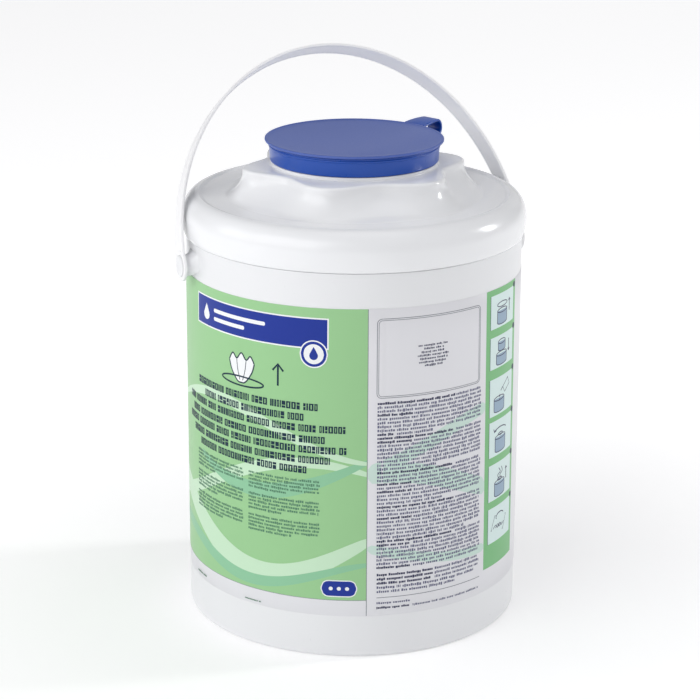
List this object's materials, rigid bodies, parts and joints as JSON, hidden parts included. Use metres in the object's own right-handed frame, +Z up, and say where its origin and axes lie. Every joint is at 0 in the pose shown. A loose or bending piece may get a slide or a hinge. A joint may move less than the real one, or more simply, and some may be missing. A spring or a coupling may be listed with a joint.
{
  "type": "countertop wipes dispenser",
  "caption": "Round lidded bucket with a swinging strap handle, a screw lid with a lobed grip and a tethered flip cap over the port for a centre-feed roll of wipes.",
  "frame": {"origin": "centre of the bucket's base, on the surface that it stands on", "axes": "+Z up along the bucket's axis, X along the handle's pivot axis, -Y towards the label's front"},
  "size_m": [0.2074, 0.1948, 0.3196],
  "materials": {
    "white_body": "satin white polyethylene",
    "white_lid": "satin white polyethylene",
    "label_film": "printed glossy film, green and white",
    "seal_rubber": "soft light grey elastomer",
    "insert_white": "matt white polypropylene",
    "cap_blue": "satin blue polypropylene",
    "cap_top_blue": "satin blue polypropylene",
    "handle_white": "smooth white polypropylene",
    "wipe_fleece": "white non-woven fleece"
  },
  "bodies": {
    "bucket_body": {"bucket": "white_body", "label_wrap": "label_film", "handle_stud_left": "handle_white", "handle_stud_right": "handle_white", "wipe_roll": "wipe_fleece"},
    "seal_body": {"lid_seal_ring": "seal_rubber"},
    "lid_body": {"lid": "white_lid", "dispensing_insert": "insert_white", "cap_collar": "cap_blue", "cap_tether": "cap_blue", "wipe_tail": "wipe_fleece"},
    "cap_body": {"flip_cap": "cap_top_blue"},
    "handle_body": {"handle_strap": "handle_white"}
  },
  "joints": [
    {"name": "lid_lift", "type": "slide", "parent": "bucket_body", "child": "seal_body", "axis": [0, 0, 1], "range_m": [0, 0.005]},
    {"name": "lid_turn", "type": "hinge", "parent": "seal_body", "child": "lid_body", "pos_m": [0, 0, 0.2386], "axis": [0, 0, 1], "range_deg": [0, 360]},
    {"name": "cap_flip", "type": "hinge", "parent": "lid_body", "child": "cap_body", "pos_m": [0.04537, 0.02262, 0.2752], "axis": [-0.4462, 0.8949, 0], "range_deg": [0, 40]},
    {"name": "handle_swing", "type": "hinge", "parent": "bucket_body", "child": "handle_body", "pos_m": [0, 0, 0.2095], "axis": [1, 0, 0], "range_deg": [-92, 148]}
  ],
  "couplings": [
    {"joint": "lid_lift", "follows": "lid_turn", "m_per_rad": 0.00079577}
  ]
}
